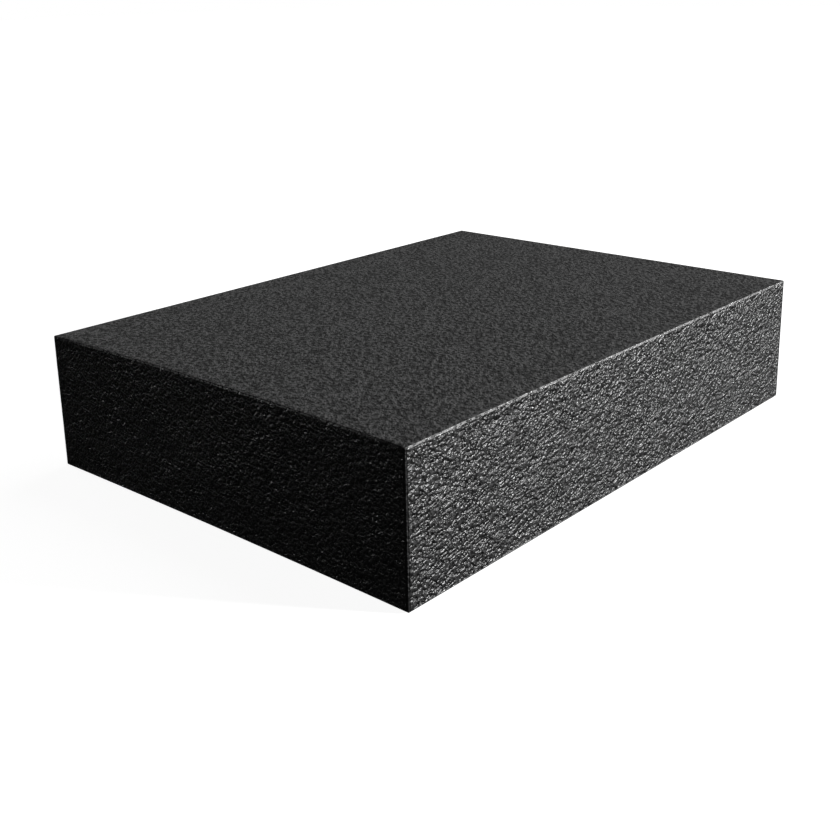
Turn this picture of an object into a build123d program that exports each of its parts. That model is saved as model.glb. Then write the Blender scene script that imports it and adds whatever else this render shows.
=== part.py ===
from build123d import *
import os

# Bench block sawn from a thick sheet of black closed-cell foam, used to prop, space or level work
# Millimetres, +Z up; the origin is the centre of the underside, X runs along the block's length

os.makedirs("parts", exist_ok=True)

# Overall size: 9 1/2 in by 7 in, from a sheet a little over 2 in thick
length = 241.3
width = 177.8
thickness = 52.0

# Two sides are sawn slightly hollow, because the foam gives way in front of the saw
# Each value is how far the middle of the edge lies inside the straight line between its corners
end_hollow_top = 2.2
end_hollow_bottom = 0.7
front_hollow_top = 0.6

# The cut edges and corners are a little blunt, by about one foam cell
edge_radius = 0.8

# Corners of the outline: left and right are the ends, front and back the long sides
left = -length / 2
right = length / 2
front = -width / 2
back = width / 2
front_left = (left, front)
front_right = (right, front)
back_right = (right, back)
back_left = (left, back)


def straight_sides():
    """The far end and the back of an outline, which are straight from corner to corner."""
    Line(front_right, back_right)
    Line(back_right, back_left)


def foam_block():
    """The block: ruled sides between the outline of its underside and that of its top."""
    with BuildPart() as block:
        with BuildSketch(Plane.XY):
            with BuildLine():
                Line(front_left, front_right)
                straight_sides()
                SagittaArc(back_left, front_left, end_hollow_bottom)
            make_face()
        with BuildSketch(Plane.XY.offset(thickness)):
            with BuildLine():
                SagittaArc(front_left, front_right, front_hollow_top)
                straight_sides()
                SagittaArc(back_left, front_left, end_hollow_top)
            make_face()
        loft(ruled=True)
        fillet(block.edges(), radius=edge_radius)
    return block.part


export_step(foam_block(), "parts/foam_block.step")
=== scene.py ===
import math

import bpy
from mathutils import Matrix, Vector, noise
from mathutils.geometry import delaunay_2d_cdt


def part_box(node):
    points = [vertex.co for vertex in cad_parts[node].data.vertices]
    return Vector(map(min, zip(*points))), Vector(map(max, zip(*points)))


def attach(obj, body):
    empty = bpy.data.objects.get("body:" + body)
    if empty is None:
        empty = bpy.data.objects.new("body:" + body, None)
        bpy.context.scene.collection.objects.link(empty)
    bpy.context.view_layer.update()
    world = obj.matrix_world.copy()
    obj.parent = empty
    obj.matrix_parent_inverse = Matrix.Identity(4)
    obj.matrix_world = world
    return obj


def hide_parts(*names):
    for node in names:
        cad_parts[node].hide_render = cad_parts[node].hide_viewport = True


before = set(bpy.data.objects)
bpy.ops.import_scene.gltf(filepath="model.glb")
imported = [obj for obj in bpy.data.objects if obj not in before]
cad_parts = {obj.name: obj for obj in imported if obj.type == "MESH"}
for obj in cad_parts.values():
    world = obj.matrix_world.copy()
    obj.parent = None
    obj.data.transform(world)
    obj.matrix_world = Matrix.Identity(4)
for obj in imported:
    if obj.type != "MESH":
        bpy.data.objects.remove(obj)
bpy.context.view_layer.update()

# Metres and degrees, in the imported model's frame: the origin is the centre of the underside
MM = 0.001
NODE = "foam_block"
low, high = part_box(NODE)
size = high - low
middle = (low + high) / 2

# Hollow of two sawn walls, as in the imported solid: the end at low X and the side at low Y
END_HOLLOW_TOP = 2.2 * MM
END_HOLLOW_BOTTOM = 0.7 * MM
FRONT_HOLLOW_TOP = 0.6 * MM

# Rounding of the edges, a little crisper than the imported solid's
EDGE_RADIUS = 0.45 * MM
FILLET_STEPS = 3

# Mesh steps on the walls, on the top and on the underside, and a lattice's gap from its rim, in steps
WALL_STEP = 0.82 * MM
TOP_STEP = 1.75 * MM
BASE_STEP = 2.6 * MM
LATTICE_GAP = 0.75

# Height of an equilateral triangle, as a share of its side
TRIANGLE_HEIGHT = math.sqrt(0.75)

# Points that agree to this many decimals of a metre are one
MERGE_DIGITS = 7

# Triangulation of the flat faces: its tolerance in metres, and the mode that stays inside the rim
MERGE_DISTANCE = 1e-9
INSIDE_RIM = 1

# Relief in the mesh: depth below the nominal surface, wavelength, and how much finer the second wave is
WALL_RELIEF = 0.22 * MM
WALL_WAVE = 3.0 * MM
WALL_OCTAVE = 1.9
TOP_RELIEF = 0.10 * MM
TOP_WAVE = 5.0 * MM
TOP_OCTAVE = 2.1

# Mean of the relief and its swing, as shares of the depth, and the weight of the second wave
RELIEF_MEAN = 0.5
RELIEF_SWING = 0.4
OCTAVE_WEIGHT = 0.5

# Share of the relief that is left at an edge, and the margin over which the rest comes back
CALM_SHARE = 0.15
CALM_MARGIN = 2.5 * MM

# Scale of the bake map on the walls, on the top and on the underside, in image widths per metre
WALL_MAP = 3.3
TOP_MAP = 2.5
BASE_MAP = 1.5

# Wrinkles of the sawn walls. The saw draws them out along the walls and slightly uphill
WRINKLE_SCALE = 1000.0
WRINKLE_DETAIL = 1.5
WRINKLE_DEPTH = 1.15 * MM
WRINKLE_STRETCH = (1.3, 1.1, 1.0)
WRINKLE_CLIMB = -12
FOLD_SCALE = 480.0
FOLD_DETAIL = 0.0
FOLD_SHARE = 0.5

# Broad patches of the walls, in which the wrinkles are shallower or deeper
PATCH_SCALE = 90.0
PATCH_DETAIL = 2.0
PATCH_NOISE = (0.3, 0.7)
PATCH_DEPTHS = (0.85, 1.15)

# Tones of the walls: painted shade darkens the valleys of the wrinkles, and the ridges keep the foam's dark
# tone
VALLEY_SHADE = (0.0015, 0.0015, 0.0015, 1)
RIDGE = (0.042, 0.042, 0.0425, 1)
RIDGE_NOISE = (0.35, 0.65)

# Fine grain of the top and underside, a little longer along a diagonal
GRAIN_SCALE = 780.0
GRAIN_DETAIL = 2.0
GRAIN_DEPTH = 0.8 * MM
GRAIN_STRETCH = (1.25, 1.0, 1.0)
GRAIN_TURN = 42
GRAIN_DARK = (0.002, 0.002, 0.002, 1)
GRAIN_LIGHT = (0.084, 0.084, 0.084, 1)
GRAIN_NOISE = (0.4, 0.61)

# Borders, as distances from the top or the underside, over which the grain gives way to the wrinkles
GRAIN_BORDER = (0.25 * MM, 0.6 * MM)

# Painted highlight, a pale colour along the rim of the long sides: its outer and inner border, and its fade
# towards the ends
RIM_HIGHLIGHT = (0.42, 0.42, 0.42, 1)
RIM_OUTER = (0.12 * MM, 0.2 * MM)
RIM_INNER = (0.65 * MM, 0.9 * MM)
RIM_FADE = (1.2 * MM, 0.4 * MM)

# The wrinkles break the painted highlight up, down to this share of its colour
RIM_NOISE = (0.42, 0.54)
RIM_SHARE = 0.1

# Relief that is left at the rim and at the upright corners, and how far a corner reaches
RIM_RELIEF = 0.9
CORNER_RELIEF = 0.4
CORNER_BORDER = (0.45 * MM, 1.1 * MM)

# Roughness of the foam, and its specular level
RIM_ROUGHNESS = 0.2
WALL_ROUGHNESS = 0.33
CORNER_ROUGHNESS = 0.6
TOP_ROUGHNESS = 0.9
FOAM_SPECULAR = 0.6

# Floor: half its width, its gap below the block, and its glow, which is less near the block
FLOOR_HALF = 6.0
FLOOR_GAP = 0.3 * MM
GLOW_BORDER = (0.25, 0.6)
GLOW_NEAR = 0.92

# Tones of the floor as it is seen and as it lights the block, and of the world as it lights the block
WHITE = (1, 1, 1, 1)
FLOOR_PALE = (0.8, 0.8, 0.8, 1)
FLOOR_DIM = (0.05, 0.05, 0.05, 1)
WORLD_DIM = 0.04

# Dark cards round the block: the dome's radius, columns and rows, its gap below the block, and its level
CARD_RADIUS = 4.0
CARD_COLUMNS = 48
CARD_ROWS = 12
CARD_GAP = 0.15 * MM
CARD_LEVEL = 0.01

# Soft lamps: azimuth, elevation, distance, width, height and level
LAMPS = {
    "key": (33, 14, 3.0, 0.5, 0.5, 1.6),
    "top": (100, 60, 0.6, 0.4, 0.4, 0.13),
    "fill": (-112, 25, 2.0, 1.3, 1.3, 0.05),
    "rear": (176, 5, 2.0, 0.9, 0.25, 0.2),
}

# Camera, fitted to the seven visible corners of the block in the photograph
VIEW_AZIMUTH = -48.353
VIEW_ELEVATION = 15.931
VIEW_ROLL = -1.104
VIEW_DISTANCE = 0.4832
VIEW_RIGHT = -0.0092
VIEW_UP = 0.0198
LENS = 50.93
SHIFT_Y = -0.12


def outline_stations():
    """Stations round the block: each a centre line point and an outward angle, with rounded corners."""
    r = EDGE_RADIUS
    corners = [
        Vector((low.x + r, low.y + r)),
        Vector((high.x - r, low.y + r)),
        Vector((high.x - r, high.y - r)),
        Vector((low.x + r, high.y - r)),
    ]
    stations = []
    for k, start in enumerate(corners):
        end = corners[(k + 1) % 4]
        steps = round((end - start).length / WALL_STEP)
        side = math.radians(-90 + 90 * k)
        for i in range(steps + 1):
            stations.append((start.lerp(end, i / steps), side))
        for i in range(1, FILLET_STEPS):
            stations.append((end, side + math.radians(90 * i / FILLET_STEPS)))
    return stations


def wall_profile():
    """Rows from the underside to the top: each an inset from the wall, a height and the normal's slope."""
    r = EDGE_RADIUS
    rows = []
    for i in range(FILLET_STEPS):
        slope = math.radians(-90 + 90 * i / FILLET_STEPS)
        rows.append((r * (1 - math.cos(slope)), low.z + r * (1 + math.sin(slope)), slope))
    tall = size.z - 2 * r
    steps = round(tall / WALL_STEP)
    for i in range(steps + 1):
        rows.append((0.0, low.z + r + tall * i / steps, 0.0))
    for i in range(1, FILLET_STEPS + 1):
        slope = math.radians(90 * i / FILLET_STEPS)
        rows.append((r * (1 - math.cos(slope)), high.z - r * (1 - math.sin(slope)), slope))
    return rows


def lid_points(step):
    """A lattice of nearly equilateral triangles that fills the top or the underside, clear of its rim."""
    margin = step * LATTICE_GAP
    left, right = low.x + EDGE_RADIUS + margin, high.x - EDGE_RADIUS - margin
    front, back = low.y + EDGE_RADIUS + margin, high.y - EDGE_RADIUS - margin
    columns = round((right - left) / step)
    rows = round((back - front) / (step * TRIANGLE_HEIGHT))
    points = []
    for j in range(rows + 1):
        y = front + (back - front) * j / rows
        shift = 0.5 * (j % 2)
        for i in range(columns + 1 - (j % 2)):
            points.append(Vector((left + (right - left) * (i + shift) / columns, y)))
    return points


def hollowed(p):
    """Moves a point of the straight block to where the slightly hollow sawn sides put it."""
    up = (p.z - low.z) / size.z
    along = 2 * (p.x - low.x) / size.x - 1
    across = 2 * (p.y - low.y) / size.y - 1
    end = (END_HOLLOW_BOTTOM + (END_HOLLOW_TOP - END_HOLLOW_BOTTOM) * up) * (1 - across ** 2)
    front = FRONT_HOLLOW_TOP * up * (1 - along ** 2)
    x = p.x + end * (high.x - p.x) / size.x
    y = p.y + front * (high.y - p.y) / size.y
    return Vector((x, y, p.z))


def waves(p, length, octave):
    """Two waves of noise at a point, as a share of the relief's depth."""
    swing = noise.noise(p / length) + OCTAVE_WEIGHT * noise.noise(p * octave / length)
    return RELIEF_MEAN + RELIEF_SWING * swing


def relief(p, normal):
    """Depth of the foam's uneven surface at a point: coarse folds on the walls, faint ones on the top."""
    upright = 1 - abs(normal.z)
    wall = WALL_RELIEF * waves(p, WALL_WAVE, WALL_OCTAVE) * upright
    flat = TOP_RELIEF * waves(p, TOP_WAVE, TOP_OCTAVE) * (1 - upright)
    # The smallest distance is to the face that the point lies on, and the next one is to the nearest edge
    to_edge = sorted(min(p[k] - low[k], high[k] - p[k]) for k in range(3))[1]
    return max(wall + flat, 0.0) * min(1.0, CALM_SHARE + to_edge / CALM_MARGIN)


def block_mesh():
    """The block as one closed mesh: a wall grid with rounded edges, and a lattice on top and underside."""
    points = []
    normals = []
    index_of = {}

    def vertex(p, normal):
        key = tuple(round(v, MERGE_DIGITS) for v in p)
        if key not in index_of:
            index_of[key] = len(points)
            points.append(p)
            normals.append(normal)
        return index_of[key]

    rings = []
    stations = outline_stations()
    for inset, z, slope in wall_profile():
        ring = []
        for centre, turn in stations:
            reach = EDGE_RADIUS - inset
            p = Vector((centre.x + math.cos(turn) * reach, centre.y + math.sin(turn) * reach, z))
            flat = math.cos(slope)
            normal = Vector((math.cos(turn) * flat, math.sin(turn) * flat, math.sin(slope)))
            ring.append(vertex(p, normal))
        rings.append(ring)

    faces = []
    for below, above in zip(rings, rings[1:]):
        for i in range(len(below)):
            j = (i + 1) % len(below)
            corner = list(dict.fromkeys((below[i], below[j], above[j], above[i])))
            if len(corner) > 2:
                faces.append(corner)

    for ring, step, z, up in ((rings[0], BASE_STEP, low.z, -1), (rings[-1], TOP_STEP, high.z, 1)):
        rim = list(dict.fromkeys(ring))
        flat = [points[k].to_2d() for k in rim] + lid_points(step)
        edges = [(i, (i + 1) % len(rim)) for i in range(len(rim))]
        spots, _, triangles = delaunay_2d_cdt(flat, edges, [], INSIDE_RIM, MERGE_DISTANCE)[:3]
        numbers = [vertex(Vector((p.x, p.y, z)), Vector((0, 0, up))) for p in spots]
        for face in triangles:
            corner = [numbers[k] for k in face]
            faces.append(corner if up > 0 else corner[::-1])

    placed = [hollowed(p) - n * relief(p, n) for p, n in zip(points, normals)]
    mesh = bpy.data.meshes.new("foam")
    mesh.from_pydata(placed, [], faces)
    mesh.validate()
    mesh.polygons.foreach_set("use_smooth", [True] * len(mesh.polygons))
    mesh.update()
    return mesh


def add_uv_map(mesh):
    """A box projection for baking: six islands side by side, the walls at a finer scale than the top."""
    # The axis and side of a face give the two axes laid out, the scale, and the island's lower left corner
    islands = {
        (1, -1): (0, 2, WALL_MAP, 0.01, 0.01),
        (1, 1): (0, 2, WALL_MAP, 0.01, 0.19),
        (0, 1): (1, 2, WALL_MAP, 0.01, 0.37),
        (0, -1): (2, 1, WALL_MAP, 0.82, 0.01),
        (2, 1): (0, 1, TOP_MAP, 0.01, 0.55),
        (2, -1): (0, 1, BASE_MAP, 0.63, 0.61),
    }
    layer = mesh.uv_layers.new(name="OFBake")
    for face in mesh.polygons:
        axis = max(range(3), key=lambda k: abs(face.normal[k]))
        a, b, scale, u, v = islands[(axis, 1 if face.normal[axis] > 0 else -1)]
        for loop in face.loop_indices:
            p = mesh.vertices[mesh.loops[loop].vertex_index].co - low
            layer.data[loop].uv = (u + p[a] * scale, v + p[b] * scale)


class Nodes:
    """Short calls for building the node tree of a material or a world."""

    def __init__(self, owner):
        owner.use_nodes = True
        self.tree = owner.node_tree
        self.tree.nodes.clear()

    def add(self, kind, inputs=None, **settings):
        """A node with these settings. An input given as a socket is linked, and any other value is set."""
        node = self.tree.nodes.new(kind)
        for name, value in settings.items():
            setattr(node, name, value)
        for name, value in (inputs or {}).items():
            socket = node.inputs[name]
            if isinstance(value, bpy.types.NodeSocket):
                self.tree.links.new(value, socket)
            else:
                socket.default_value = value
        return node

    def math(self, operation, *values):
        return self.add("ShaderNodeMath", dict(enumerate(values)), operation=operation).outputs[0]

    def remap(self, value, low_in, high_in, low_out, high_out):
        inputs = {0: value, 1: low_in, 2: high_in, 3: low_out, 4: high_out}
        return self.add("ShaderNodeMapRange", inputs).outputs[0]

    def mix(self, share, first, second):
        """A mix of two numbers."""
        return self.add("ShaderNodeMix", {0: share, 2: first, 3: second}).outputs[0]

    def mix_colour(self, share, first, second):
        """A mix of two colours."""
        return self.add("ShaderNodeMix", {0: share, 6: first, 7: second}, data_type="RGBA").outputs[2]

    def noise(self, vector, scale, detail):
        inputs = {"Vector": vector, "Scale": scale, "Detail": detail}
        return self.add("ShaderNodeTexNoise", inputs).outputs["Fac"]

    def stretched(self, vector, turn, stretch):
        """Coordinates in which a texture is turned, and stretched along its own axes."""
        inputs = {"Vector": vector, "Rotation": turn, "Scale": stretch}
        return self.add("ShaderNodeMapping", inputs, vector_type="TEXTURE").outputs[0]


def edge_masks(n, place):
    """How much a spot has of the fine grain and of the painted highlight along the rim, and what relief a
    corner leaves it.
    """
    spot = n.add("ShaderNodeSeparateXYZ", {0: place}).outputs
    from_middle = n.math("ABSOLUTE", n.math("SUBTRACT", spot["Z"], middle.z))
    inset = n.math("SUBTRACT", size.z / 2, from_middle)
    level = n.remap(inset, *GRAIN_BORDER, 1.0, 0.0)

    along = n.math("ABSOLUTE", spot["X"])
    fade_start, fade_end = (size.x / 2 - gap for gap in RIM_FADE)
    rim = n.math("MINIMUM", n.remap(inset, *RIM_OUTER, 0.0, 1.0), n.remap(inset, *RIM_INNER, 1.0, 0.0))
    rim = n.math("MULTIPLY", rim, n.remap(along, fade_start, fade_end, 1.0, 0.0))

    across = n.math("ABSOLUTE", spot["Y"])
    to_end = n.math("SUBTRACT", size.x / 2, along)
    to_side = n.math("SUBTRACT", size.y / 2, across)
    corner = n.remap(n.math("MAXIMUM", to_end, to_side), *CORNER_BORDER, CORNER_RELIEF, 1.0)
    return level, rim, corner


def foam_material():
    """Black closed-cell foam: wrinkled satin on the sawn walls with painted shade in their valleys, a finer
    matt grain on the flat faces, and a painted highlight along the long edges.
    """
    material = bpy.data.materials.new("black foam")
    n = Nodes(material)
    place = n.add("ShaderNodeTexCoord").outputs["Object"]
    level, rim, corner = edge_masks(n, place)

    sawn = n.stretched(place, (0, math.radians(WRINKLE_CLIMB), 0), WRINKLE_STRETCH)
    wrinkles = n.noise(sawn, WRINKLE_SCALE, WRINKLE_DETAIL)
    folds = n.noise(sawn, FOLD_SCALE, FOLD_DETAIL)
    patches = n.noise(place, PATCH_SCALE, PATCH_DETAIL)
    turned = n.stretched(place, (0, 0, math.radians(GRAIN_TURN)), GRAIN_STRETCH)
    grain = n.noise(turned, GRAIN_SCALE, GRAIN_DETAIL)

    wall = n.math("MULTIPLY", wrinkles, n.remap(patches, *PATCH_NOISE, *PATCH_DEPTHS))
    wall = n.math("ADD", wall, n.math("MULTIPLY", folds, FOLD_SHARE))
    wall = n.math("MULTIPLY", wall, WRINKLE_DEPTH)
    height = n.mix(level, wall, n.math("MULTIPLY", grain, GRAIN_DEPTH))
    height = n.math("MULTIPLY", height, n.remap(rim, 0.0, 1.0, 1.0, RIM_RELIEF))
    height = n.math("MULTIPLY", height, corner)
    bump = n.add("ShaderNodeBump", {"Strength": 1.0, "Distance": 1.0, "Height": height})

    # Painted shade: the walls' colour darkens from the ridges of the wrinkles down into their valleys
    wall = n.mix_colour(n.remap(wrinkles, *RIDGE_NOISE, 0.0, 1.0), VALLEY_SHADE, RIDGE)
    flat = n.mix_colour(n.remap(grain, *GRAIN_NOISE, 0.0, 1.0), GRAIN_DARK, GRAIN_LIGHT)
    # Painted highlight along the rounded long edges, broken up by the wrinkles
    rim_highlight = n.math("MULTIPLY", rim, n.remap(wrinkles, *RIM_NOISE, RIM_SHARE, 1.0))
    colour = n.mix_colour(rim_highlight, n.mix_colour(level, wall, flat), RIM_HIGHLIGHT)

    roughness = n.remap(corner, CORNER_RELIEF, 1.0, CORNER_ROUGHNESS, WALL_ROUGHNESS)
    roughness = n.mix(level, roughness, TOP_ROUGHNESS)
    roughness = n.mix(rim, roughness, RIM_ROUGHNESS)
    foam = n.add(
        "ShaderNodeBsdfPrincipled",
        {
            "Base Color": colour,
            "Roughness": roughness,
            "Specular IOR Level": FOAM_SPECULAR,
            "Normal": bump.outputs[0],
        },
    )
    n.add("ShaderNodeOutputMaterial", {"Surface": foam.outputs[0]})
    return material


def seen_rays(n):
    """One where a camera, glossy or transmission ray looks, and zero for all other rays."""
    path = n.add("ShaderNodeLightPath")
    seen = n.math("MAXIMUM", path.outputs["Is Camera Ray"], path.outputs["Is Glossy Ray"])
    return n.math("MAXIMUM", seen, path.outputs["Is Transmission Ray"])


def floor_material():
    """A pale floor: white where it is seen, less the block's soft shadow."""
    material = bpy.data.materials.new("floor")
    n = Nodes(material)
    pale = n.add("ShaderNodeBsdfDiffuse", {"Color": FLOOR_PALE})
    place = n.add("ShaderNodeTexCoord").outputs["Object"]
    away = n.add("ShaderNodeVectorMath", {0: place}, operation="LENGTH").outputs["Value"]
    strength = n.remap(away, *GLOW_BORDER, GLOW_NEAR, 1.0)
    glow = n.add("ShaderNodeEmission", {"Color": WHITE, "Strength": strength})
    white = n.add("ShaderNodeAddShader", {0: pale.outputs[0], 1: glow.outputs[0]})
    dim = n.add("ShaderNodeBsdfDiffuse", {"Color": FLOOR_DIM})
    mixed = n.add("ShaderNodeMixShader", {0: seen_rays(n), 1: dim.outputs[0], 2: white.outputs[0]})
    n.add("ShaderNodeOutputMaterial", {"Surface": mixed.outputs[0]})
    return material


def card_material():
    """A dark grey that gives the same level from every side."""
    material = bpy.data.materials.new("cards")
    n = Nodes(material)
    dark = n.add("ShaderNodeEmission", {"Color": WHITE, "Strength": CARD_LEVEL})
    n.add("ShaderNodeOutputMaterial", {"Surface": dark.outputs[0]})
    return material


def white_world():
    """A world that is white where it is seen, and dim as a light."""
    world = bpy.data.worlds.new("studio")
    bpy.context.scene.world = world
    n = Nodes(world)
    strength = n.remap(seen_rays(n), 0.0, 1.0, WORLD_DIM, 1.0)
    white = n.add("ShaderNodeBackground", {"Color": WHITE, "Strength": strength})
    n.add("ShaderNodeOutputWorld", {"Surface": white.outputs[0]})


def studio_piece(name, points, faces, material, gap):
    """A piece of the studio, at a small gap below the block's underside."""
    mesh = bpy.data.meshes.new(name)
    mesh.from_pydata(points, [], faces)
    mesh.materials.append(material)
    piece = bpy.data.objects.new(name, mesh)
    bpy.context.scene.collection.objects.link(piece)
    piece.location.z = low.z - gap
    return piece


def add_floor():
    """A square floor, far wider than the view."""
    half = FLOOR_HALF
    corners = [(-half, -half, 0), (half, -half, 0), (half, half, 0), (-half, half, 0)]
    floor = studio_piece("floor", corners, [(0, 1, 2, 3)], floor_material(), FLOOR_GAP)


def add_dark_cards():
    """A closed dome of dark cards, as round a dark product. Only gloss and bounce light meet it."""
    points = []
    faces = []
    for j in range(CARD_ROWS):
        e = math.radians(90 * j / CARD_ROWS)
        reach = CARD_RADIUS * math.cos(e)
        for i in range(CARD_COLUMNS):
            a = 2 * math.pi * i / CARD_COLUMNS
            points.append((reach * math.cos(a), reach * math.sin(a), CARD_RADIUS * math.sin(e)))
    last_ring = len(points) - CARD_COLUMNS
    for ring in range(0, last_ring, CARD_COLUMNS):
        above = ring + CARD_COLUMNS
        for i in range(CARD_COLUMNS):
            k = (i + 1) % CARD_COLUMNS
            faces.append((ring + i, ring + k, above + k, above + i))
    faces.append(tuple(range(last_ring, len(points))))
    faces.append(tuple(range(CARD_COLUMNS)))
    cards = studio_piece("cards", points, faces, card_material(), CARD_GAP)
    cards.visible_camera = False
    cards.visible_shadow = False
    cards.visible_transmission = False


def direction(azimuth, elevation):
    """The way from the block to an azimuth and elevation. Azimuth 0 is in front, towards low Y."""
    a, e = math.radians(azimuth), math.radians(elevation)
    return Vector((math.sin(a) * math.cos(e), -math.cos(a) * math.cos(e), math.sin(e)))


def softbox(name, azimuth, elevation, distance, width, height, level):
    """A soft lamp aimed at the block. Level 1 lights a facing white surface at the block to white."""
    data = bpy.data.lights.new(name, "AREA")
    data.shape = "RECTANGLE"
    data.size = width
    data.size_y = height
    data.energy = level * math.pi ** 2 * distance ** 2
    lamp = bpy.data.objects.new(name, data)
    bpy.context.scene.collection.objects.link(lamp)
    away = direction(azimuth, elevation)
    lamp.location = middle + away * distance
    lamp.rotation_mode = "QUATERNION"
    lamp.rotation_quaternion = away.to_track_quat("Z", "Y")
    lamp.visible_camera = False


def add_camera():
    """The photograph's viewpoint: its direction, roll and distance, and small moves across the view."""
    back = direction(VIEW_AZIMUTH, VIEW_ELEVATION)
    a, r = math.radians(VIEW_AZIMUTH), math.radians(VIEW_ROLL)
    level = Vector((math.cos(a), math.sin(a), 0))
    upright = back.cross(level)
    right = level * math.cos(r) + upright * math.sin(r)
    up = upright * math.cos(r) - level * math.sin(r)
    data = bpy.data.cameras.new("camera")
    data.lens = LENS
    data.shift_y = SHIFT_Y
    camera = bpy.data.objects.new("camera", data)
    bpy.context.scene.collection.objects.link(camera)
    centre = Vector((0, 0, size.z / 2))
    camera.location = centre + back * VIEW_DISTANCE + right * VIEW_RIGHT + up * VIEW_UP
    camera.rotation_mode = "QUATERNION"
    camera.rotation_quaternion = Matrix((right, up, back)).transposed().to_quaternion()
    bpy.context.scene.camera = camera


mesh = block_mesh()
add_uv_map(mesh)
mesh.materials.append(foam_material())
foam = bpy.data.objects.new("foam", mesh)
bpy.context.scene.collection.objects.link(foam)
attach(foam, "root")
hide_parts(NODE)

add_floor()
add_dark_cards()
white_world()
for name, settings in LAMPS.items():
    softbox(name, *settings)
add_camera()
bpy.context.scene.view_settings.view_transform = "Standard"
